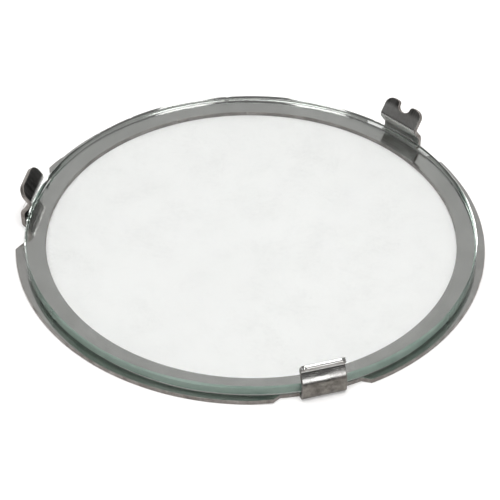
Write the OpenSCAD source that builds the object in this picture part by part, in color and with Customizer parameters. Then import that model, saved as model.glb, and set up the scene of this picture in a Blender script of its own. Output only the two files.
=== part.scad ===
// Round clear glass carried in a pressed steel ring.
// Three spring clips stand up from notches in the ring, close over the edge of the
// glass, and snap over the rim of the instrument or lamp that the glass protects.
// Frame: +Z is the axis of the window. The origin is the centre of the window on the
// ring's flat lower face. Angles run anticlockwise from +X, seen from above.

/* [Carrier ring] */
// Outer diameter of the ring
ring_d = 127; // [126:0.5:130]
// Diameter of the window through the ring
window_d = 111; // [100:0.5:113]
// How far the ring's outer edge stands off the window's centre, to the left
edge_shift_x = 0.3; // [0:0.1:0.4]
// How far the ring's outer edge stands off the window's centre, to the back
edge_shift_y = 0.8; // [0:0.1:0.8]
// Thickness of the ring and clip sheet
sheet_t = 1.2; // [1.0:0.1:1.2]

/* [Glass] */
// Diameter of the glass disc
glass_d = 122.3; // [118:0.1:122.3]
// Thickness of the glass disc
glass_t = 3; // [2:0.1:3]
// Width of the ground arris on the upper edge of the glass
arris_top = 0.4; // [0.2:0.1:0.6]
// Width of the ground arris on the lower edge of the glass
arris_low = 0.6; // [0.2:0.1:0.8]
// Gap under the glass, where it rides on the high spots of the ring
seat_gap = 0.15; // [0.1:0.05:0.3]
// Distance that the loose glass lies off centre, away from the front clip
glass_offset = 0.3; // [0:0.1:0.3]

/* [Clips] */
// Width of the front clip
front_w = 12; // [8:0.1:13]
// Width of the left clip
left_w = 12.5; // [8:0.1:13]
// Width of the right clip
right_w = 12.6; // [10:0.1:13]
// Direction of the front clip
front_angle = 287.7; // [280:0.1:295]
// Direction of the left clip
left_angle = 168; // [160:0.5:175]
// Direction of the right clip
right_angle = 47; // [40:0.5:55]
// Radius of the clip's middle surface where it leaves its bend
clip_r = 62.1; // [62.1:0.1:62.2]
// Outward lean of the clip's wall
wall_lean = 3; // [0:1:6]
// Length of the clip's wall below its shoulder
wall_len = 2.8; // [2:0.1:3]
// Inward lean of the clip between its shoulder and its neck
neck_lean = 33; // [25:1:40]
// Length of the straight part between shoulder and neck
neck_len = 2.8; // [2:0.1:3]
// Outward flare of the lip
lip_flare = 37; // [25:1:45]
// Length of the straight part of the front clip's lip
front_lip = 2.5; // [2:0.1:4]
// Length of the straight part of the left clip's lip
left_lip = 4.2; // [3:0.1:5]
// Length of the straight part of the right clip's lip
right_lip = 5; // [4:0.1:5.4]
// Radius of the thumb notch in the right clip's lip
thumb_r = 2.2; // [1:0.1:2.5]

/* [Notches] */
// Radius of the root of each notch
notch_root_r = 60.7; // [60:0.1:60.8]
// Half the angle that the front and right notches cover at the root
notch_root_half = 10.4; // [9:0.1:12]
// Half the angle that the front and right notches cover at the ring's outer edge
notch_mouth_half = 13; // [12.2:0.1:16]
// Half the angle that the wider left notch covers at its root
left_root_half = 11.8; // [9:0.1:12]
// Half the angle that the wider left notch covers at the ring's outer edge
left_mouth_half = 15.5; // [12.2:0.1:16]

/* [Hidden] */
$fn = 96;

ring_r = ring_d / 2;
window_r = window_d / 2;
glass_r = glass_d / 2;
half_t = sheet_t / 2;
// Middle-surface radii of the bend at the root, the shoulder and the neck
root_bend = half_t + 0.5;
shoulder_bend = half_t + 1.4;
neck_bend = half_t + 0.3;
// Where the straight foot starts, buried in the ring behind the notch's root
foot_start = notch_root_r - 0.6;
// Number of flats that make up each bend
bend_steps = 8;
// Reach of the cutting shapes past the ring
over = 4;
// Corner radii of the three lips, and how far the thumb notch is centred below the edge
front_corner = 1.2;
left_corner = 3;
right_corner = 2.4;
thumb_drop = 0.3;

steel = [0.66, 0.66, 0.64];
glass_tint = [0.74, 0.85, 0.79, 0.45];

// A clip is one bent strip. Its section lies in the radius-height plane, where a heading is
// the angle from straight up, positive outwards. A path is a list of [point, heading] along
// the strip's middle surface.
function ahead(p, a, len) = p + len * [sin(a), cos(a)];
// Unit vector to the inward side of a heading
function inward(a) = [-cos(a), sin(a)];
// Point reached by turning from one heading to another; a negative radius bends outwards
function after_bend(p, a1, a2, r) = p + r * (inward(a1) - inward(a2));
function bend_path(p, a1, a2, r) = [
    for (i = [0 : bend_steps])
        let (a = a1 + (a2 - a1) * i / bend_steps)
            [after_bend(p, a1, a, r), a]
];

wall_start = [clip_r, half_t + root_bend * (1 - sin(wall_lean))];
root_bend_start = [clip_r - root_bend * cos(wall_lean), half_t];
shoulder_start = ahead(wall_start, wall_lean, wall_len);
shoulder_end = after_bend(shoulder_start, wall_lean, -neck_lean, shoulder_bend);
neck_start = ahead(shoulder_end, -neck_lean, neck_len);
neck_end = after_bend(neck_start, -neck_lean, lip_flare, -neck_bend);
function lip_end(lip_len) = ahead(neck_end, lip_flare, lip_len);
// Highest point of a clip, at the inner corner of its lip's end
function clip_top(lip_len) = lip_end(lip_len).y + half_t * sin(lip_flare);

// Foot that runs out from the notch's root and turns up
foot_path = concat(
    [[[foot_start, half_t], 90]],
    bend_path(root_bend_start, 90, wall_lean, root_bend)
);
// Free part of a clip: wall, shoulder, neck and lip
function clip_path(lip_len) = concat(
    [[wall_start, wall_lean]],
    bend_path(shoulder_start, wall_lean, -neck_lean, shoulder_bend),
    bend_path(neck_start, -neck_lean, lip_flare, -neck_bend),
    [[lip_end(lip_len), lip_flare]]
);

module strip_section(path) {
    outer_side = [for (s = path) s[0] - half_t * inward(s[1])];
    inner_side = [for (s = path) s[0] + half_t * inward(s[1])];
    count = len(path);
    polygon(concat(outer_side, [for (i = [1 : count]) inner_side[count - i]]));
}

// Gives a radius-height section a clip's width, centred on +X
module across_clip(width) {
    rotate([90, 0, 0])
        linear_extrude(width, center = true)
            children();
}

// Front view of a clip, with the lip's rounded corners and an optional thumb notch
module clip_outline(width, top, corner_r, notch_r) {
    half_w = width / 2;
    difference() {
        union() {
            translate([-half_w, 0])
                square([width, top - corner_r]);
            translate([corner_r - half_w, 0])
                square([width - 2 * corner_r, top]);
            for (side = [-1, 1])
                translate([side * (half_w - corner_r), top - corner_r])
                    circle(corner_r);
        }
        if (notch_r > 0)
            translate([0, top - thumb_drop])
                circle(notch_r);
    }
}

module clip(angle, width, lip_len, corner_r, notch_r = 0) {
    rotate([0, 0, angle])
        intersection() {
            across_clip(width)
                strip_section(clip_path(lip_len));
            translate([clip_r - over, 0, 0])
                rotate([90, 0, 90])
                    linear_extrude(2 * over)
                        clip_outline(width, clip_top(lip_len), corner_r, notch_r);
        }
}

function on_circle(r, a) = r * [cos(a), sin(a)];

module flat_ring() {
    difference() {
        translate([-edge_shift_x, edge_shift_y, 0])
            cylinder(h = sheet_t, r = ring_r);
        translate([0, 0, -over])
            cylinder(h = 2 * over, r = window_r);
    }
}

// Shape that cuts the sheet away round one clip, in the clip's own direction
module notch_cut(root_half, mouth_half) {
    corner = on_circle(notch_root_r, root_half);
    // The notch's slanted end is carried on past the outer edge
    beyond = corner + 2 * (on_circle(ring_r, mouth_half) - corner);
    outside = ring_r + over;
    translate([0, 0, -over])
        difference() {
            linear_extrude(2 * over)
                polygon([
                    corner,
                    beyond,
                    [outside, beyond.y],
                    [outside, -beyond.y],
                    [beyond.x, -beyond.y],
                    [corner.x, -corner.y]
                ]);
            cylinder(h = 3 * over, r = notch_root_r);
        }
}

module carrier_ring() {
    // Direction, width and notch half-angles of each clip
    clips = [
        [front_angle, front_w, notch_root_half, notch_mouth_half],
        [left_angle, left_w, left_root_half, left_mouth_half],
        [right_angle, right_w, notch_root_half, notch_mouth_half]
    ];
    color(steel)
        union() {
            difference() {
                flat_ring();
                for (c = clips)
                    rotate([0, 0, c[0]])
                        notch_cut(c[2], c[3]);
            }
            for (c = clips)
                rotate([0, 0, c[0]])
                    across_clip(c[1])
                        strip_section(foot_path);
        }
}

module glass_disc() {
    away = front_angle - 180;
    low_r = glass_r - arris_low;
    top_r = glass_r - arris_top;
    color(glass_tint)
        translate([glass_offset * cos(away), glass_offset * sin(away), sheet_t + seat_gap])
            rotate_extrude()
                polygon([
                    [0, 0],
                    [low_r, 0],
                    [glass_r, arris_low],
                    [glass_r, glass_t - arris_top],
                    [top_r, glass_t],
                    [0, glass_t]
                ]);
}

module clip_front() {
    color(steel)
        clip(front_angle, front_w, front_lip, front_corner);
}

module clip_left() {
    color(steel)
        clip(left_angle, left_w, left_lip, left_corner);
}

module clip_right() {
    color(steel)
        clip(right_angle, right_w, right_lip, right_corner, thumb_r);
}

carrier_ring();
glass_disc();
clip_front();
clip_left();
clip_right();
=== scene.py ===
"""Looks for the clip-on cover glass: a clear disc on a polished steel ring with three spring clips."""

import math

import bpy
from mathutils import Matrix, Vector, noise


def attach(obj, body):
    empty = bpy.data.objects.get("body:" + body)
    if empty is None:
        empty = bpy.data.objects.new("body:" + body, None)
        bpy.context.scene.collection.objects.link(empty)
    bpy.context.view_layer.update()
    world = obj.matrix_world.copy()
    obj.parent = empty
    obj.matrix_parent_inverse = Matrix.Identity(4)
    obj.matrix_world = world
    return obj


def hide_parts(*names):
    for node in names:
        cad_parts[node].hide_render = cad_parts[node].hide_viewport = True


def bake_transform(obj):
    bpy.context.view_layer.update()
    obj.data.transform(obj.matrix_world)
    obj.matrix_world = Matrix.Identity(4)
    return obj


MM = 0.001

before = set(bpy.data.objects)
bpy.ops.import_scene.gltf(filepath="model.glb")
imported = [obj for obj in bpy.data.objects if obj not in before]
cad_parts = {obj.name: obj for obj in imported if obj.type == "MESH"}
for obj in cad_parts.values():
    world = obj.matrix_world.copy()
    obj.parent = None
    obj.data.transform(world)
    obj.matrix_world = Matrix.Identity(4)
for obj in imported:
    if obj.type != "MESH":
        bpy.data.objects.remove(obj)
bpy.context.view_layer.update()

# ---------------------------------------------------------------- sizes, in millimetres and degrees
SHEET_T = 1.2
HALF_T = SHEET_T / 2
# A touch under the CAD's radius, to stay inside its box
RING_R = 63.48
# Centre of the ring's outer edge, seen from the window's centre
RING_SHIFT = (-0.3, 0.8)
WINDOW_R = 55.5
NOTCH_ROOT_R = 60.7

GLASS_R = 61.15
GLASS_T = 3.0
SEAT_GAP = 0.15
GLASS_Z = SHEET_T + SEAT_GAP
# How far the loose glass lies off centre, away from the front clip
GLASS_SHIFT = 0.3
ARRIS_TOP = 0.4
ARRIS_LOW = 0.6
# The corner where an arris meets the glass's edge is rubbed off, from this share of the arris before it
ARRIS_EASE = 0.12
# to this many times the arris's width along the edge
ARRIS_RUN_OUT = 1.15

# What differs from clip to clip:
#   angle, width, lip        its direction, its width and the straight length of its lip
#   corner, thumb            radius of the lip's corners; half width, depth and mouth radius of its notch
#   root_half, mouth_half    half the angle of the ring's notch at its root and at the outer edge
#   folds                    angle that the notch's clockwise and anticlockwise corners are turned up
#   dents                    depth of the knocks in the outside of its wall
#   shade_from, inner_rough  distance along it to the inner side darkened with painted shade, and roughness
#   added below the lip
CLIPS = {
    "front": {
        "angle": 287.7,
        "width": 12.0,
        "lip": 2.5,
        "corner": 1.2,
        "thumb": None,
        "root_half": 10.4,
        "mouth_half": 13.0,
        "folds": (14.0, 3.0),
        "dents": 0.09,
        "shade_from": 11.5,
        "inner_rough": 0.1,
    },
    "left": {
        "angle": 168.0,
        "width": 12.5,
        "lip": 4.18,
        "corner": 3.0,
        "thumb": None,
        "root_half": 11.8,
        "mouth_half": 15.5,
        "folds": (20.0, 12.0),
        "dents": 0.03,
        "shade_from": 8.9,
        "inner_rough": 0.05,
    },
    "right": {
        "angle": 47.0,
        "width": 12.6,
        "lip": 4.98,
        "corner": 2.4,
        "thumb": (2.0, 1.6, 0.9),
        "root_half": 10.4,
        "mouth_half": 13.0,
        "folds": (4.0, 4.0),
        "dents": 0.03,
        "shade_from": 12.2,
        "inner_rough": 0.35,
    },
}
CLIP_R = 62.1
WALL_LEAN = 3.0
WALL_LEN = 2.8
# Lean of a clip just above its shoulder and just below its neck
NECK_LEAN_LOW = 37.0
NECK_LEAN_HIGH = 29.0
NECK_LEN = 2.8
LIP_FLARE = 37.0
# Radii of a clip's middle surface at its bends
ROOT_BEND = 1.1
SHOULDER_BEND = 2.0
NECK_BEND = 0.9
# The straight line, square to the clip, where the ring's pressing is split into ring and clip
TONGUE_END = 60.9
# The corners beside a notch are turned up about a fold that runs from the notch's root to the outer edge,
# this many degrees past the notch's mouth
FOLD_REACH = 6.5

# ---------------------------------------------------------------- how finely the meshes are divided
# Places, from 0 at an edge to 1 at the flat, where the edge's rounding is given a line of points
ROUND_STEPS = (0.0, 0.12, 0.4, 1.0)
RING_ROUND = 0.10
CLIP_ROUND = 0.14
RING_INSETS = [RING_ROUND * step for step in ROUND_STEPS]
CLIP_INSETS = [CLIP_ROUND * step for step in ROUND_STEPS[::-1]]
# Rows of points across the ring's flat, besides those of its two rounded edges
RING_FLAT_ROWS = 5
# Degrees between points along the ring's outer edge
ARC_STEP = 0.75
# Steps along a notch's slanted end, its root, and half of the line where the clip joins
NOTCH_END_STEPS = 5
NOTCH_ROOT_STEPS = 8
TONGUE_STEPS = 6
# Rounds that it takes to find where a notch's slanted end meets the off-centre outer edge
EDGE_ROUNDS = 20
# Steps along each stretch of a clip, from its root to its lip
ROOT_STEPS = 14
WALL_STEPS = 9
SHOULDER_STEPS = 12
NECK_STEPS = 8
NECK_BEND_STEPS = 12
LIP_SHARES = [i / 10 for i in range(1, 10)]
# Steps round each quarter turn of a lip's outline, and round the mouth of its thumb notch
QUARTER_STEPS = 10
MOUTH_STEPS = 8
# Usual and least distance between columns of points across a clip
COLUMN_GAP = 0.35
LEAST_GAP = 0.004
GLASS_SEGMENTS = 480
# Radii, as shares of the glass's own, of the rows of points on its faces
FACE_SHARES = (0.4, 0.75, 0.95)

# ---------------------------------------------------------------- marks that the UVs carry to the materials
# Added to the first UV coordinate of the glass's ground faces
GROUND_U = 1000.0
# Taken from the second UV coordinate of the clips' inner faces
INNER_V = 1000.0
# Added to the first UV coordinate of the lips' end faces, which keeps them clear of the hammer-marked wall
# and its painted shade
END_U = 40.0
# Radius at which an angle round the ring becomes a distance in its UVs
UV_RADIUS = 60.0

# ---------------------------------------------------------------- wear
# Distance along a clip to the top of its dull, hammer-marked outside darkened with painted shade, and of its
# rougher inside
HAMMERED_SHADED_TO = 5.9
ROUGH_INSIDE_TO = 9.6
# Distance along a clip to the first dents, and the stretch where the wall's deeper ones fade out
DENTS_FROM = 1.5
WALL_DENTS_FADE = (4.6, 5.8)
# The dents fade out over this distance from the sheet's edges, and off the wall only this share is left
DENT_MARGIN = 0.8
DENT_LEAST = 0.04
# Height of the slow wave in the ring's seat, waves per millimetre, and the radii where it comes and goes
SEAT_WAVE = 0.02
SEAT_WAVES_PER_MM = 0.06
SEAT_WAVE_COMES = (57, 60)
SEAT_WAVE_GOES = (61.5, 62.5)
# How unevenly the glass's arrises were ground, and which peaks of the fine noise become nicks, how deep
UNEVEN_TOP = 0.45
UNEVEN_LOW = 0.35
NICK_FROM = 0.42
NICK_GAIN = 2.2
# Places on the glass, front to back and left to right, where its edge stops being frosted, and where its
# chips and their painted shade stop
FROST_FADE = (-38.0, -8.0)
CHIPS_SHADE_FADE = (-60.2, -58.5)
# How gradually a scratch starts, as a step in the noise that it is cut from
SCRATCH_SOFTNESS = 0.06

# ---------------------------------------------------------------- colours
RING_BRIGHT = (0.60, 0.60, 0.585)
RING_DULL = (0.50, 0.50, 0.485)
CLIP_BRIGHT = (0.54, 0.54, 0.53)
CLIP_DULL = (0.38, 0.37, 0.355)
# Painted shade: the clips' walls are tinted dark for the shadowed floor that they reflect
WALL_SHADE_DARK = (0.10, 0.093, 0.083)
WALL_SHADE_LIGHT = (0.21, 0.197, 0.178)
# Painted shade on the insides of the lips
INNER_SHADE = (0.05, 0.048, 0.044)
CUT_LIGHT = (0.27, 0.255, 0.24)
CUT_DARK = (0.11, 0.095, 0.085)
SMEAR_GREY = (0.62, 0.63, 0.62)
SATIN_DEEP = (0.86, 0.93, 0.89)
SATIN_PALE = (0.97, 0.99, 0.98)
# Painted shade on the chips of the glass's edge
CHIP_SHADE = (0.16, 0.20, 0.18)
FROST_DEEP = (0.26, 0.36, 0.31)
FROST_PALE = (0.44, 0.56, 0.49)
GLASS_BODY = (0.18, 0.80, 0.52)
PAPER_PALE = (0.755, 0.745, 0.74)
PAPER_DEEP = (0.725, 0.715, 0.71)
STUDIO_WHITE = (1.0, 0.995, 0.985)
GLASS_IOR = 1.52
GLASS_DENSITY = 5.0


# ---------------------------------------------------------------- shared arithmetic
def smooth_step(x, low, high):
    t = min(1.0, max(0.0, (x - low) / (high - low)))
    return t * t * (3 - 2 * t)


def rounding(distance, radius):
    """How far a rounded edge falls below the flat at a distance in from the edge."""
    inside = min(1.0, max(0.0, distance / radius))
    return radius * (1 - math.sqrt(1 - (1 - inside) ** 2))


def polar(radius, degrees):
    a = math.radians(degrees)
    return Vector((radius * math.cos(a), radius * math.sin(a)))


# ---------------------------------------------------------------- node helpers
def new_material(name):
    """A material with only its output node."""
    material = bpy.data.materials.new(name)
    material.use_nodes = True
    tree = material.node_tree
    for node in list(tree.nodes):
        if node.type != "OUTPUT_MATERIAL":
            tree.nodes.remove(node)
    return material, tree


def output_of(tree):
    return next(n for n in tree.nodes if n.type == "OUTPUT_MATERIAL")


def put_value(tree, value, socket):
    """Links another node's output to a socket, or sets the socket to a constant."""
    if isinstance(value, bpy.types.NodeSocket):
        tree.links.new(value, socket)
    else:
        socket.default_value = value


def add(tree, kind, **values):
    """A node with its sockets set by name."""
    node = tree.nodes.new(kind)
    for key, value in values.items():
        put_value(tree, value, node.inputs[key])
    return node


def uv_mapping(tree, scale, turn=0.0):
    """Texture coordinates in millimetres along and across the sheet, scaled and turned."""
    uv = add(tree, "ShaderNodeTexCoord")
    mapping = add(tree, "ShaderNodeMapping", Vector=uv.outputs["UV"])
    mapping.inputs["Scale"].default_value = scale
    mapping.inputs["Rotation"].default_value = (0.0, 0.0, math.radians(turn))
    return mapping.outputs["Vector"]


def object_mapping(tree, per_mm):
    """Object coordinates scaled so that one unit is 1 / per_mm millimetres."""
    coords = add(tree, "ShaderNodeTexCoord")
    mapping = add(tree, "ShaderNodeMapping", Vector=coords.outputs["Object"])
    mapping.inputs["Scale"].default_value = (per_mm / MM,) * 3
    return mapping.outputs["Vector"]


def coordinates(tree, kind):
    """The three coordinates of one kind, apart."""
    coords = add(tree, "ShaderNodeTexCoord")
    return add(tree, "ShaderNodeSeparateXYZ", Vector=coords.outputs[kind]).outputs


def noise_of(tree, vector, detail=2.0, rough=0.5):
    made = add(tree, "ShaderNodeTexNoise", Vector=vector, Scale=1.0, Detail=detail, Roughness=rough)
    return made.outputs["Fac"]


def ramp(tree, value, low, high, out_low=0.0, out_high=1.0):
    """Linear map of value from low..high to out_low..out_high, clamped."""
    made = add(tree, "ShaderNodeMapRange", Value=value)
    for name, number in (("From Min", low), ("From Max", high), ("To Min", out_low), ("To Max", out_high)):
        made.inputs[name].default_value = number
    return made.outputs["Result"]


def math_node(tree, operation, first, second):
    made = tree.nodes.new("ShaderNodeMath")
    made.operation = operation
    put_value(tree, first, made.inputs[0])
    put_value(tree, second, made.inputs[1])
    return made.outputs[0]


def multiply(tree, first, second):
    return math_node(tree, "MULTIPLY", first, second)


def plus(tree, first, second, share=1.0):
    """The first value plus a share of the second."""
    if share != 1.0:
        second = multiply(tree, second, share)
    return math_node(tree, "ADD", first, second)


def mix_colour(tree, factor, first, second):
    """A blend of two colours, each an RGB constant or another node's output."""
    made = tree.nodes.new("ShaderNodeMix")
    made.data_type = "RGBA"
    tree.links.new(factor, made.inputs["Factor"])
    for socket, value in ((made.inputs[6], first), (made.inputs[7], second)):
        put_value(tree, (*value, 1.0) if isinstance(value, tuple) else value, socket)
    return made.outputs[2]


def mix_shaders(tree, factor, first, second):
    made = add(tree, "ShaderNodeMixShader", Fac=factor)
    tree.links.new(first.outputs[0], made.inputs[1])
    tree.links.new(second.outputs[0], made.inputs[2])
    return made


def bump_of(tree, height, distance_mm, strength=1.0, normal=None):
    """Bumps of the given depth; strength is a number or a mask."""
    made = add(tree, "ShaderNodeBump", Height=height, Distance=distance_mm * MM, Strength=strength)
    if normal is not None:
        tree.links.new(normal, made.inputs["Normal"])
    return made.outputs["Normal"]


def scratch_mask(tree, scale, turn, threshold):
    """Thin streaks: noise stretched along one direction and cut off high."""
    field = noise_of(tree, uv_mapping(tree, (*scale, 1.0), turn), detail=1.0)
    return ramp(tree, field, threshold, threshold + SCRATCH_SOFTNESS)


# ---------------------------------------------------------------- steel
def clip_wear_and_shade(tree, colour, rough, normal, clip):
    """A clip's wear and painted shade: a dull hammer-marked wall darkened with painted shade, a rougher
    inside below the lip and painted shade in streaks on its inside.
    """
    along, across, _ = coordinates(tree, "UV")
    inner = ramp(tree, across, -INNER_V * 0.6, -INNER_V * 0.5, 1.0, 0.0)
    outer = math_node(tree, "SUBTRACT", 1.0, inner)

    hammer = noise_of(tree, object_mapping(tree, 0.55), detail=4.0, rough=0.6)
    hammered_shaded = multiply(tree, ramp(tree, along, HAMMERED_SHADED_TO - 0.4, HAMMERED_SHADED_TO + 0.3, 1.0, 0.0), outer)
    # Painted shade: the outside of the wall is tinted dark and mottled for the shadowed floor that it
    # reflects
    wall_shade = mix_colour(tree, ramp(tree, hammer, 0.35, 0.65), WALL_SHADE_DARK, WALL_SHADE_LIGHT)
    colour = mix_colour(tree, hammered_shaded, colour, wall_shade)
    rough = plus(tree, rough, hammered_shaded, 0.22)
    normal = bump_of(tree, hammer, 0.12, hammered_shaded, normal)

    below_lip = multiply(tree, ramp(tree, along, ROUGH_INSIDE_TO - 0.8, ROUGH_INSIDE_TO, 1.0, 0.0), inner)
    rough = plus(tree, rough, below_lip, clip["inner_rough"])

    # Painted shade: the inner side towards the lip is darkened in streaks
    shade_streaks = noise_of(tree, uv_mapping(tree, (0.10, 1.6, 1.0)), detail=4.0, rough=0.6)
    shade_from = clip["shade_from"]
    inner_shade_mask = multiply(tree, ramp(tree, along, shade_from, shade_from + 1.2), inner)
    inner_shade_mask = multiply(tree, inner_shade_mask, ramp(tree, shade_streaks, 0.30, 0.62, 1.0, 0.55))
    return mix_colour(tree, inner_shade_mask, colour, INNER_SHADE), rough, normal


def steel_material(name, bright, dull, gloss, scuffs, clip=None):
    """Polished plated sheet: blotchy dulling, fine streaks two ways and shallow waviness."""
    material, tree = new_material(name)
    blotch = noise_of(tree, object_mapping(tree, 0.11), detail=4.0, rough=0.6)
    speckle = noise_of(tree, object_mapping(tree, 2.4), detail=3.0, rough=0.65)
    haze = ramp(tree, plus(tree, blotch, speckle, 0.35), 0.55, 0.85)
    long_streaks = scratch_mask(tree, (0.12, 9.0), turn=4.0, threshold=0.66)
    cross_streaks = scratch_mask(tree, (7.0, 0.25), turn=27.0, threshold=0.70)
    streaks = plus(tree, long_streaks, cross_streaks)
    wear = math_node(tree, "MINIMUM", plus(tree, haze, streaks, scuffs), 1.0)
    colour = mix_colour(tree, wear, bright, dull)
    rough = ramp(tree, wear, 0.0, 1.0, *gloss)
    normal = bump_of(tree, noise_of(tree, object_mapping(tree, 0.16)), 0.05)
    if clip is not None:
        colour, rough, normal = clip_wear_and_shade(tree, colour, rough, normal, clip)
    normal = bump_of(tree, streaks, 0.004, 0.6, normal)
    normal = bump_of(tree, speckle, 0.0015, 0.7, normal)
    shader = add(tree, "ShaderNodeBsdfPrincipled", Metallic=1.0, Roughness=rough, Normal=normal)
    tree.links.new(colour, shader.inputs["Base Color"])
    tree.links.new(shader.outputs[0], output_of(tree).inputs["Surface"])
    return material


def cut_edge_material():
    """Sheared edge of the sheet: dull, brownish, with fine lines across the thickness."""
    material, tree = new_material("cut_edge")
    stain = noise_of(tree, object_mapping(tree, 0.35), detail=5.0, rough=0.65)
    lines = noise_of(tree, uv_mapping(tree, (6.0, 0.6, 1.0)))
    tone = ramp(tree, plus(tree, stain, lines, 0.5), 0.55, 0.95)
    shader = add(tree, "ShaderNodeBsdfPrincipled", Metallic=0.85)
    tree.links.new(mix_colour(tree, tone, CUT_LIGHT, CUT_DARK), shader.inputs["Base Color"])
    tree.links.new(ramp(tree, tone, 0.0, 1.0, 0.26, 0.5), shader.inputs["Roughness"])
    tree.links.new(bump_of(tree, lines, 0.02, 0.6), shader.inputs["Normal"])
    tree.links.new(shader.outputs[0], output_of(tree).inputs["Surface"])
    return material


# ---------------------------------------------------------------- glass materials
def clear_surface(tree):
    """Polished glass under faint smears."""
    smear = noise_of(tree, object_mapping(tree, 0.09), detail=5.0, rough=0.7)
    dust = noise_of(tree, object_mapping(tree, 1.3), detail=3.0, rough=0.7)
    film = ramp(tree, multiply(tree, smear, dust), 0.24, 0.42, 0.0, 0.03)
    clear = add(tree, "ShaderNodeBsdfPrincipled", IOR=GLASS_IOR, Roughness=0.0)
    clear.inputs["Base Color"].default_value = (1.0, 1.0, 1.0, 1.0)
    clear.inputs["Transmission Weight"].default_value = 1.0
    tree.links.new(bump_of(tree, smear, 0.003, 0.5), clear.inputs["Normal"])
    grey = add(tree, "ShaderNodeBsdfDiffuse", Color=(*SMEAR_GREY, 1.0))
    return mix_shaders(tree, film, clear, grey)


def ground_surface(tree):
    """The glass's edge: frosted at the front, polished at the back and with chips beside the left clip, which
    are darkened with painted shade.
    """
    grind = noise_of(tree, object_mapping(tree, 1.6), detail=5.0, rough=0.7)
    patch = noise_of(tree, object_mapping(tree, 0.10), detail=3.0, rough=0.6)
    tone = ramp(tree, plus(tree, patch, grind, 0.5), 0.55, 0.95)
    to_right, to_back, _ = coordinates(tree, "Object")
    frosted = ramp(tree, to_back, FROST_FADE[0] * MM, FROST_FADE[1] * MM, 1.0, 0.0)
    leftmost = ramp(tree, to_right, CHIPS_SHADE_FADE[0] * MM, CHIPS_SHADE_FADE[1] * MM, 1.0, 0.0)
    flakes = ramp(tree, noise_of(tree, object_mapping(tree, 0.9), detail=3.0), 0.40, 0.55)
    chipped_shaded = multiply(tree, leftmost, flakes)

    satin = add(tree, "ShaderNodeBsdfPrincipled", IOR=GLASS_IOR)
    satin.inputs["Transmission Weight"].default_value = 1.0
    bright = mix_colour(tree, tone, SATIN_DEEP, SATIN_PALE)
    # Painted shade: the chips beside the left clip darken the edge's colour
    tree.links.new(mix_colour(tree, chipped_shaded, bright, CHIP_SHADE), satin.inputs["Base Color"])
    tree.links.new(ramp(tree, frosted, 0.0, 1.0, 0.02, 0.10), satin.inputs["Roughness"])
    chips = noise_of(tree, object_mapping(tree, 2.2), detail=3.0, rough=0.7)
    normal = bump_of(tree, grind, 0.012, 0.5)
    tree.links.new(bump_of(tree, chips, 0.30, chipped_shaded, normal), satin.inputs["Normal"])

    frost = add(tree, "ShaderNodeBsdfDiffuse", Color=mix_colour(tree, tone, FROST_DEEP, FROST_PALE))
    share = multiply(tree, ramp(tree, tone, 0.0, 1.0, 0.58, 0.46), frosted)
    return mix_shaders(tree, plus(tree, share, 0.03), satin, frost)


def glass_material():
    """Greenish float glass, in one material so that its volume stays whole; the UVs mark the ground faces."""
    material, tree = new_material("float_glass")
    along, _, _ = coordinates(tree, "UV")
    on_edge = ramp(tree, along, GROUND_U * 0.5, GROUND_U * 0.6)
    both = mix_shaders(tree, on_edge, clear_surface(tree), ground_surface(tree))
    tree.links.new(both.outputs[0], output_of(tree).inputs["Surface"])
    body = add(tree, "ShaderNodeVolumeAbsorption", Color=(*GLASS_BODY, 1.0), Density=GLASS_DENSITY)
    tree.links.new(body.outputs[0], output_of(tree).inputs["Volume"])
    return material


# ---------------------------------------------------------------- mesh helpers
def make_object(name, points_mm, faces, face_kinds, uvs_mm, materials):
    """An object from points in millimetres. uvs_mm is one pair for each corner of each face."""
    mesh = bpy.data.meshes.new(name)
    mesh.from_pydata([tuple(c * MM for c in p) for p in points_mm], [], faces)
    for material in materials:
        mesh.materials.append(material)
    mesh.polygons.foreach_set("material_index", face_kinds)
    layer = mesh.uv_layers.new(name="sheet_mm")
    layer.data.foreach_set("uv", [c for pair in uvs_mm for c in pair])
    mesh.update()
    mesh.validate()
    mesh.shade_smooth()
    obj = bpy.data.objects.new(name, mesh)
    bpy.context.scene.collection.objects.link(obj)
    return obj


def finish_mesh(obj):
    """Sets normals that keep the flats flat, and makes the result the object's mesh."""
    weighted = obj.modifiers.new("normals", "WEIGHTED_NORMAL")
    weighted.weight = 100
    weighted.keep_sharp = True
    bpy.context.view_layer.update()
    depsgraph = bpy.context.evaluated_depsgraph_get()
    made = bpy.data.meshes.new_from_object(
        obj.evaluated_get(depsgraph), preserve_all_data_layers=True, depsgraph=depsgraph
    )
    obj.modifiers.clear()
    old = obj.data
    obj.data = made
    made.name = obj.name
    bpy.data.meshes.remove(old)


# ---------------------------------------------------------------- ring
def edge_radius(degrees):
    """Distance from the window's centre to the ring's outer edge, which isn't quite central."""
    direction = polar(1.0, degrees)
    along = direction.x * RING_SHIFT[0] + direction.y * RING_SHIFT[1]
    across = direction.x * RING_SHIFT[1] - direction.y * RING_SHIFT[0]
    return along + math.sqrt(RING_R**2 - across**2)


def notch_side(clip, sign):
    """One slanted end of a notch, from the outer edge to the root, in the clip's own direction."""
    corner = polar(NOTCH_ROOT_R, sign * clip["root_half"])
    mouth = polar(RING_R, sign * clip["mouth_half"])
    share = 1.0
    # Moves the mouth along the slanted end until it lies on the off-centre outer edge
    for _ in range(EDGE_ROUNDS):
        p = corner.lerp(mouth, share)
        there = edge_radius(clip["angle"] + math.degrees(math.atan2(p.y, p.x)))
        share *= 1 + (there - p.length) / (mouth.length - corner.length)
    mouth = corner.lerp(mouth, share)
    return [mouth.lerp(corner, i / NOTCH_END_STEPS) for i in range(NOTCH_END_STEPS)] + [corner]


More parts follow.
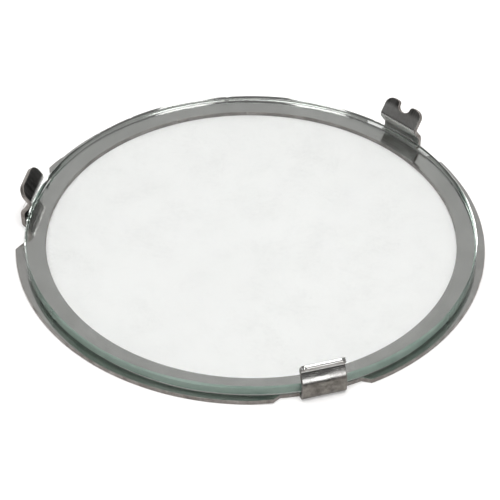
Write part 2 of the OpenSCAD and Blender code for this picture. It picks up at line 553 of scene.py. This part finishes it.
def notch_outline(clip):
    """A notch's outline in the clip's own direction, anticlockwise, as (angle, radius, is it the joint)."""
    half_w = clip["width"] / 2
    side = math.degrees(math.asin(half_w / NOTCH_ROOT_R))
    root_half = clip["root_half"]
    points = []
    for sign in (-1, 1):
        part = [(p, False) for p in notch_side(clip, sign)]
        for i in range(1, NOTCH_ROOT_STEPS + 1):
            share = i / NOTCH_ROOT_STEPS
            part.append((polar(NOTCH_ROOT_R, sign * (root_half + (side - root_half) * share)), False))
        part.append((Vector((TONGUE_END, sign * half_w)), True))
        for i in range(1, TONGUE_STEPS):
            part.append((Vector((TONGUE_END, sign * half_w * (1 - i / TONGUE_STEPS))), True))
        points = part + [(Vector((TONGUE_END, 0.0)), True)] if sign < 0 else points + part[::-1]
    return [(math.degrees(math.atan2(p.y, p.x)), p.length, joint) for p, joint in points]


def fold_lift(angle, radius):
    """Height that the turned-up corners beside the notches add at a point of the ring's sheet."""
    lift = 0.0
    for clip in CLIPS.values():
        local = (angle - clip["angle"] + 180) % 360 - 180
        fold_end = clip["mouth_half"] + FOLD_REACH
        if clip["root_half"] <= abs(local) <= fold_end:
            start = polar(NOTCH_ROOT_R, clip["root_half"])
            along = (polar(RING_R, fold_end) - start).normalized()
            offset = polar(radius, abs(local)) - start
            beyond = offset.x * along.y - offset.y * along.x
            lift = max(lift, beyond * math.tan(math.radians(clip["folds"][local > 0])))
    return lift


def ring_outline():
    """The ring's outer outline, anticlockwise, as (angle, radius, is it where a clip joins)."""
    outline = []
    clips = sorted(CLIPS.values(), key=lambda clip: clip["angle"])
    for k, clip in enumerate(clips):
        notch = notch_outline(clip)
        outline += [(clip["angle"] + a, r, joint) for a, r, joint in notch]
        following = clips[(k + 1) % len(clips)]
        arc_from = clip["angle"] + notch[-1][0]
        arc_to = following["angle"] + notch_outline(following)[0][0]
        if k == len(clips) - 1:
            arc_to += 360
        steps = int((arc_to - arc_from) / ARC_STEP)
        for i in range(1, steps):
            a = arc_from + (arc_to - arc_from) * i / steps
            outline.append((a, edge_radius(a), False))
    return outline


def ring_inset(row, rows, width):
    """Distance from the window's edge to a row of points on the ring's sheet."""
    if row < len(RING_INSETS):
        return RING_INSETS[row]
    if row >= rows - len(RING_INSETS):
        return width - RING_INSETS[rows - 1 - row]
    share = (row - len(RING_INSETS) + 1) / (rows - 2 * len(RING_INSETS) + 1)
    return RING_ROUND + (width - 2 * RING_ROUND) * share


def ring_point(place, row, rows, top):
    """One point of the ring's upper or lower side, and its UV."""
    angle, outer, joint = place
    width = outer - WINDOW_R
    inset = ring_inset(row, rows, width)
    p = polar(WINDOW_R, angle).lerp(polar(outer, angle), inset / width)
    radius = p.length
    fall = rounding(inset, RING_ROUND) + (0.0 if joint else rounding(width - inset, RING_ROUND))
    lift = fold_lift(angle, radius)
    wave = SEAT_WAVE * noise.noise(Vector((p.x * SEAT_WAVES_PER_MM, p.y * SEAT_WAVES_PER_MM, 3.0)))
    lift += top * wave * smooth_step(radius, *SEAT_WAVE_COMES) * (1 - smooth_step(radius, *SEAT_WAVE_GOES))
    return (p.x, p.y, (SHEET_T - fall if top else fall) + lift), (math.radians(angle) * UV_RADIUS, radius)


def build_ring(materials):
    outline = ring_outline()
    count = len(outline)
    rows = 2 * len(RING_INSETS) + RING_FLAT_ROWS
    points, uvs = [], []
    for top in (0, 1):
        for row in range(rows):
            for place in outline:
                point, uv = ring_point(place, row, rows, top)
                points.append(point)
                uvs.append(uv)

    def at(top, row, i):
        return (top * rows + row) * count + i % count

    def uv_at(top, row, i):
        u, v = uvs[at(top, row, i)]
        return (u + math.radians(360) * UV_RADIUS, v) if i == count else (u, v)

    faces, kinds, face_uvs = [], [], []
    for i in range(count):
        for row in range(rows - 1):
            on_edge = row < len(RING_INSETS) - 1 or row >= rows - len(RING_INSETS)
            on_edge = on_edge and not (outline[i][2] and row > len(RING_INSETS))
            for top in (0, 1):
                corners = [(row, i), (row + 1, i), (row + 1, i + 1), (row, i + 1)]
                if not top:
                    corners.reverse()
                faces.append([at(top, r, k) for r, k in corners])
                kinds.append(int(on_edge))
                face_uvs += [uv_at(top, r, k) for r, k in corners]
        for row, sides in ((rows - 1, (0, 1)), (0, (1, 0))):
            wall = [(sides[0], i), (sides[0], i + 1), (sides[1], i + 1), (sides[1], i)]
            faces.append([at(top, row, k) for top, k in wall])
            kinds.append(1)
            face_uvs += [(uv_at(top, row, k)[0], top * SHEET_T) for top, k in wall]
    ring = make_object("ring_pressing", points, faces, kinds, face_uvs, materials)
    finish_mesh(ring)
    return ring


# ---------------------------------------------------------------- clips
def ahead(p, heading, length):
    a = math.radians(heading)
    return (p[0] + length * math.sin(a), p[1] + length * math.cos(a))


def inward(heading):
    a = math.radians(heading)
    return (-math.cos(a), math.sin(a))


def after_bend(p, start, end, radius):
    a, b = inward(start), inward(end)
    return (p[0] + radius * (a[0] - b[0]), p[1] + radius * (a[1] - b[1]))


def clip_stations():
    """A strip's middle surface from tongue to lip, as (radius, height, heading, length so far)."""
    stations = [((TONGUE_END, HALF_T), 90.0)]
    p = (CLIP_R - ROOT_BEND * math.cos(math.radians(WALL_LEAN)), HALF_T)

    def bend(start, end, radius, steps):
        for i in range(steps + 1):
            heading = start + (end - start) * i / steps
            stations.append((after_bend(p, start, heading, radius), heading))
        return stations[-1][0]

    def run(start, end, length, steps):
        """A nearly straight stretch whose heading changes evenly."""
        q = p
        for i in range(1, steps + 1):
            middle = start + (end - start) * (i - 0.5) / steps
            q = ahead(q, middle, length / steps)
            if i < steps:
                stations.append((q, start + (end - start) * i / steps))
        return q

    p = bend(90.0, WALL_LEAN, ROOT_BEND, ROOT_STEPS)
    p = run(WALL_LEAN, WALL_LEAN, WALL_LEN, WALL_STEPS)
    p = bend(WALL_LEAN, -NECK_LEAN_LOW, SHOULDER_BEND, SHOULDER_STEPS)
    p = run(-NECK_LEAN_LOW, -NECK_LEAN_HIGH, NECK_LEN, NECK_STEPS)
    p = bend(-NECK_LEAN_HIGH, LIP_FLARE, -NECK_BEND, NECK_BEND_STEPS)
    placed, length, last = [], 0.0, stations[0][0]
    for point, heading in stations:
        length += math.dist(point, last)
        last = point
        placed.append((*point, heading, length))
    return placed


def thumb_columns(half, deep, mouth_r):
    """One half of a thumb notch, from its middle to the end of its mouth's rounding."""
    columns = []
    for i in range(QUARTER_STEPS):
        u = half * math.sin(math.radians(90 / QUARTER_STEPS * i))
        columns.append((u, mouth_r + deep * math.sqrt(1 - (u / half) ** 2)))
    columns.append((half, mouth_r))
    for i in range(1, MOUTH_STEPS + 1):
        a = math.radians(90 * i / MOUTH_STEPS)
        columns.append((half + mouth_r * (1 - math.cos(a)), mouth_r * (1 - math.sin(a))))
    return columns


def lip_columns(half_w, corner_r, thumb):
    """Places across a clip's width, and how far short of its full length the lip ends at each."""
    if thumb:
        columns = thumb_columns(*thumb)
        flat_from = thumb[0] + thumb[2]
    else:
        columns = [(0.0, 0.0)]
        flat_from = 0.0
    flat_to = half_w - corner_r
    steps = max(2, round((flat_to - flat_from) / COLUMN_GAP))
    for i in range(1, steps):
        columns.append((flat_from + (flat_to - flat_from) * i / steps, 0.0))
    for i in range(QUARTER_STEPS):
        a = math.radians(90 / QUARTER_STEPS * i)
        columns.append((flat_to + corner_r * math.sin(a), corner_r * (1 - math.cos(a))))
    for inset in CLIP_INSETS:
        u = half_w - inset
        if u > columns[-1][0] + LEAST_GAP:
            columns.append((u, corner_r - math.sqrt(max(0.0, corner_r**2 - (u - flat_to) ** 2))))
    return [(-u, drop) for u, drop in columns[:0:-1]] + columns


def strip_place(stations, row, full):
    """A row's (radius, height, heading, length so far, distance from the end) where the lip is full long."""
    if row < len(stations):
        return (*stations[row], CLIP_ROUND)
    step = row - len(stations)
    if step < len(LIP_SHARES):
        from_end = CLIP_ROUND
        length = (full - CLIP_ROUND) * LIP_SHARES[step]
    else:
        from_end = CLIP_INSETS[step - len(LIP_SHARES)]
        length = full - from_end
    start_x, start_z, _, lip_from = stations[-1]
    return (*ahead((start_x, start_z), LIP_FLARE, length), LIP_FLARE, lip_from + length, from_end)


def dent_depth(clip, u, along, from_edge, outside):
    """How far the sheet is knocked out of true at a point; the outside of the wall took most of it."""
    seed = 7.0 + math.radians(clip["angle"])
    field = noise.fractal(Vector((u * 0.42, along * 0.5, seed)), 0.8, 2.1, 3)
    wall = 1 - smooth_step(along, *WALL_DENTS_FADE)
    share = DENT_LEAST + (1 - DENT_LEAST) * wall * outside
    return clip["dents"] * field * min(1.0, from_edge / DENT_MARGIN) * share


def clip_points(clip, stations, columns, rows):
    """The points of a clip's outer side and then its inner side, row by row, and their UVs."""
    half_w = clip["width"] / 2
    lip_from = stations[-1][3]
    turn = Matrix.Rotation(math.radians(clip["angle"]), 3, "Z")
    points, uvs = [], []
    for side in (1, -1):
        for row in range(rows):
            for u, drop in columns:
                full = clip["lip"] - drop
                x, z, heading, along, from_end = strip_place(stations, row, full)
                from_side = half_w - abs(u)
                push = side * (HALF_T - max(rounding(from_side, CLIP_ROUND), rounding(from_end, CLIP_ROUND)))
                if along > DENTS_FROM:
                    from_edge = min(from_side, max(0.0, lip_from + full - along))
                    push += dent_depth(clip, u, along, from_edge, side > 0)
                a = math.radians(heading)
                points.append(tuple(turn @ Vector((x + math.cos(a) * push, u, z - math.sin(a) * push))))
                uvs.append((along, u - INNER_V if side < 0 else u))
    return points, uvs


def clip_faces(columns, rows, uvs, end_kind):
    """Faces, material numbers and UVs of a clip; end_kind is the material number of its two ends."""
    wide = len(columns)
    half_w = columns[-1][0]
    faces, kinds, face_uvs = [], [], []

    def at(side, row, column):
        return (side * rows + row) * wide + column

    def put(corners, kind, flat_uv=None):
        faces.append(corners)
        kinds.append(kind)
        face_uvs.extend(flat_uv or [uvs[c] for c in corners])

    for row in range(rows - 1):
        for column in range(wide - 1):
            corners = ((row, column), (row, column + 1), (row + 1, column + 1), (row + 1, column))
            middle = abs(columns[column][0] + columns[column + 1][0]) / 2
            worn = int(row >= rows - len(CLIP_INSETS) or middle > half_w - CLIP_ROUND)
            put([at(0, *c) for c in corners], worn)
            put([at(1, *corners[k]) for k in (0, 3, 2, 1)], worn)
    for column in range(wide - 1):
        for row, order in ((0, 1), (rows - 1, -1)):
            corners = ((0, row, column), (1, row, column), (1, row, column + 1), (0, row, column + 1))
            u0, u1 = columns[column][0] + END_U, columns[column + 1][0] + END_U
            flat = [(u0, 0.0), (u0, SHEET_T), (u1, SHEET_T), (u1, 0.0)]
            put([at(*c) for c in corners][::order], end_kind, flat[::order])
    for row in range(rows - 1):
        for column, order in ((0, -1), (wide - 1, 1)):
            corners = ((0, row, column), (1, row, column), (1, row + 1, column), (0, row + 1, column))
            s0, s1 = uvs[at(0, row, column)][0], uvs[at(0, row + 1, column)][0]
            flat = [(s0, 0.0), (s0, SHEET_T), (s1, SHEET_T), (s1, 0.0)]
            put([at(*c) for c in corners][::order], 1, flat[::order])
    return faces, kinds, face_uvs


def build_clip(key, materials):
    """One continuous strip with a shaped lip."""
    data = CLIPS[key]
    stations = clip_stations()
    columns = lip_columns(data["width"] / 2, data["corner"], data["thumb"])
    rows = len(stations) + len(LIP_SHARES) + len(CLIP_INSETS)
    points, uvs = clip_points(data, stations, columns, rows)
    # The end of the front clip's lip shines in the photo, so it keeps the polished steel
    faces, kinds, face_uvs = clip_faces(columns, rows, uvs, int(key != "front"))
    made = make_object(f"spring_clip_{key}", points, faces, kinds, face_uvs, materials)
    finish_mesh(made)
    return made


# ---------------------------------------------------------------- glass
def arris_widths(c, s):
    """Lower and upper arris in the direction (c, s): uneven, and nicked here and there at the top."""
    uneven = noise.noise(Vector((c * 4, s * 4, 1.5)))
    nick = max(0.0, noise.noise(Vector((c * 40, s * 40, 9.5))) - NICK_FROM) * NICK_GAIN
    return ARRIS_LOW * (1 - UNEVEN_LOW * uneven), ARRIS_TOP * (1 + UNEVEN_TOP * uneven + nick)


def glass_section(low, top):
    """The disc's section from the middle of its lower face to the middle of its upper face."""
    lower_face = [(GLASS_R * share, 0.0) for share in FACE_SHARES]
    upper_face = [(GLASS_R * share, GLASS_T) for share in FACE_SHARES[::-1]]
    edge = [
        (GLASS_R - low, 0.0),
        (GLASS_R - low * ARRIS_EASE, low * (1 - ARRIS_EASE)),
        (GLASS_R, low * ARRIS_RUN_OUT),
        (GLASS_R, GLASS_T / 2),
        (GLASS_R, GLASS_T - top * ARRIS_RUN_OUT),
        (GLASS_R - top * ARRIS_EASE, GLASS_T - top * (1 - ARRIS_EASE)),
        (GLASS_R - top, GLASS_T),
    ]
    return lower_face + edge + upper_face


def build_glass(materials):
    """Lathed disc with hand-ground arrises."""
    away = math.radians(CLIPS["front"]["angle"] - 180)
    shift = Vector((math.cos(away), math.sin(away))) * GLASS_SHIFT
    angles = [2 * math.pi * i / GLASS_SEGMENTS for i in range(GLASS_SEGMENTS)]
    directions = [(math.cos(a), math.sin(a)) for a in angles]
    sections = [glass_section(*arris_widths(c, s)) for c, s in directions]
    row_count = len(sections[0])
    first_edge_row = len(FACE_SHARES)
    last_edge_row = row_count - 1 - len(FACE_SHARES)
    points = []
    for row in range(row_count):
        for (c, s), section in zip(directions, sections):
            r, z = section[row]
            points.append((shift.x + r * c, shift.y + r * s, GLASS_Z + z))

    faces, uvs = [], []

    def put(corners, ground=False):
        faces.append(corners)
        uvs.extend((points[k][0] + GROUND_U * ground, points[k][1]) for k in corners)

    for row in range(row_count - 1):
        here, above = row * GLASS_SEGMENTS, (row + 1) * GLASS_SEGMENTS
        for i in range(GLASS_SEGMENTS):
            j = (i + 1) % GLASS_SEGMENTS
            put([here + i, here + j, above + j, above + i], first_edge_row <= row < last_edge_row)
    for centre_z, row, order in ((0.0, 0, -1), (GLASS_T, row_count - 1, 1)):
        centre = len(points)
        points.append((shift.x, shift.y, GLASS_Z + centre_z))
        for i in range(GLASS_SEGMENTS):
            rim = [row * GLASS_SEGMENTS + i, row * GLASS_SEGMENTS + (i + 1) % GLASS_SEGMENTS]
            put([centre, *rim[::order]])
    glass = make_object("glass_pane", points, faces, [0] * len(faces), uvs, materials)

    sharp = glass.data.attributes.new("sharp_edge", "BOOLEAN", "EDGE")
    flags = []
    for e in glass.data.edges:
        row_a, row_b = (k // GLASS_SEGMENTS for k in e.vertices)
        flags.append(row_a == row_b and row_a in (first_edge_row, last_edge_row))
    sharp.data.foreach_set("value", flags)
    finish_mesh(glass)
    return glass


# ---------------------------------------------------------------- build the pieces
RING_STEEL = steel_material("ring_steel", RING_BRIGHT, RING_DULL, gloss=(0.06, 0.17), scuffs=0.5)
CUT_EDGE = cut_edge_material()

ring_piece = build_ring([RING_STEEL, CUT_EDGE])
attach(ring_piece, "carrier")
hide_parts("carrier_ring")

glass_piece = build_glass([glass_material()])
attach(glass_piece, "glass")
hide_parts("glass_disc")

for key, data in CLIPS.items():
    name = f"clip_steel_{key}"
    clip_steel = steel_material(name, CLIP_BRIGHT, CLIP_DULL, gloss=(0.08, 0.24), scuffs=0.8, clip=data)
    clip = build_clip(key, [clip_steel, CUT_EDGE])
    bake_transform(clip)
    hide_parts(f"clip_{key}")


# ---------------------------------------------------------------- floor, light and camera, in metres
FLOOR_HALF = 0.45
# The floor lies this far under the ring, so that the two don't share a plane
FLOOR_DROP = 0.00005
# The floor's own faint glow, which keeps it near white between the lights
FLOOR_GLOW = 0.24
# Name, place, target, width and height, and power in watts
AREA_LIGHTS = (
    ("overhead", (0.0, -0.10, 0.80), (0.0, -0.10, 0.0), (0.72, 0.64), 6.9),
    ("back_left", (-0.75, 1.0, 0.55), (0.0, 0.0, 0.0), (0.35, 0.5), 3.0),
    ("back_right", (0.75, 1.0, 0.55), (0.0, 0.0, 0.0), (0.35, 0.5), 3.0),
    ("front_left", (-0.58, -0.80, 0.72), (0.0, 0.0, 0.0), (0.48, 0.58), 2.0),
    ("front_right", (0.58, -0.80, 0.72), (0.0, 0.0, 0.0), (0.48, 0.58), 2.0),
)
CAMERA_DISTANCE = 0.794
# Height of the camera above the horizon, in degrees, and its turn about its own axis, in radians
CAMERA_ELEVATION = 40.33
CAMERA_ROLL = 0.0088
# How far left of the window's centre and below it the camera aims, in millimetres
CAMERA_AIM = (0.3524, 1.1926)
LENS_MM = 210.917
SENSOR_MM = 36.0


def build_floor():
    mesh = bpy.data.meshes.new("floor")
    corners = [(-FLOOR_HALF, -FLOOR_HALF, 0), (FLOOR_HALF, -FLOOR_HALF, 0)]
    corners += [(FLOOR_HALF, FLOOR_HALF, 0), (-FLOOR_HALF, FLOOR_HALF, 0)]
    mesh.from_pydata(corners, [], [(0, 1, 2, 3)])
    floor = bpy.data.objects.new("floor", mesh)
    bpy.context.scene.collection.objects.link(floor)
    floor.location.z = -FLOOR_DROP
    material, tree = new_material("pale_floor")
    paper = noise_of(tree, object_mapping(tree, 0.02), detail=3.0)
    shader = add(tree, "ShaderNodeBsdfDiffuse", Color=mix_colour(tree, paper, PAPER_PALE, PAPER_DEEP))
    glow = add(tree, "ShaderNodeEmission", Strength=FLOOR_GLOW)
    both = add(tree, "ShaderNodeAddShader")
    tree.links.new(shader.outputs[0], both.inputs[0])
    tree.links.new(glow.outputs[0], both.inputs[1])
    tree.links.new(both.outputs[0], output_of(tree).inputs["Surface"])
    mesh.materials.append(material)


def build_world():
    """Studio surroundings: mid grey behind, darker towards the camera and near the horizon."""
    world = bpy.data.worlds.new("studio")
    bpy.context.scene.world = world
    world.use_nodes = True
    tree = world.node_tree
    background = next(n for n in tree.nodes if n.type == "BACKGROUND")
    _, to_back, upwards = coordinates(tree, "Generated")
    behind = ramp(tree, to_back, -0.5, 0.5, 0.15, 0.50)
    horizon = ramp(tree, upwards, 0.04, 0.30, 0.12, 1.0)
    background.inputs["Color"].default_value = (*STUDIO_WHITE, 1.0)
    tree.links.new(multiply(tree, behind, horizon), background.inputs["Strength"])


def area_light(name, place, target, size, power):
    data = bpy.data.lights.new(name, "AREA")
    data.shape = "RECTANGLE"
    data.size, data.size_y = size
    data.energy = power
    light = bpy.data.objects.new(name, data)
    light.location = place
    light.rotation_euler = (Vector(target) - Vector(place)).to_track_quat("-Z", "Y").to_euler()
    bpy.context.scene.collection.objects.link(light)


def build_camera():
    """Camera on the -Y side, looking down at the glass through a long lens."""
    elevation = math.radians(CAMERA_ELEVATION)
    data = bpy.data.cameras.new("camera")
    data.sensor_width = SENSOR_MM
    data.lens = LENS_MM
    data.clip_start, data.clip_end = 0.05, 30.0
    back = Vector((0, -math.cos(elevation), math.sin(elevation)))
    right = Vector((1, 0, 0))
    up = back.cross(right)
    right_turned = right * math.cos(CAMERA_ROLL) + up * math.sin(CAMERA_ROLL)
    up_turned = up * math.cos(CAMERA_ROLL) - right * math.sin(CAMERA_ROLL)
    place = back * CAMERA_DISTANCE
    aim = -(right_turned * CAMERA_AIM[0] + up_turned * CAMERA_AIM[1]) * MM
    back = (place - aim).normalized()
    right = (right_turned - back * right_turned.dot(back)).normalized()
    up = back.cross(right)
    rotation = Matrix((right, up, back)).transposed()
    camera = bpy.data.objects.new("camera", data)
    camera.matrix_world = Matrix.Translation(place) @ rotation.to_4x4()
    bpy.context.scene.collection.objects.link(camera)
    bpy.context.scene.camera = camera


build_floor()
build_world()
for light in AREA_LIGHTS:
    area_light(*light)
build_camera()
bpy.context.scene.view_settings.view_transform = "Standard"
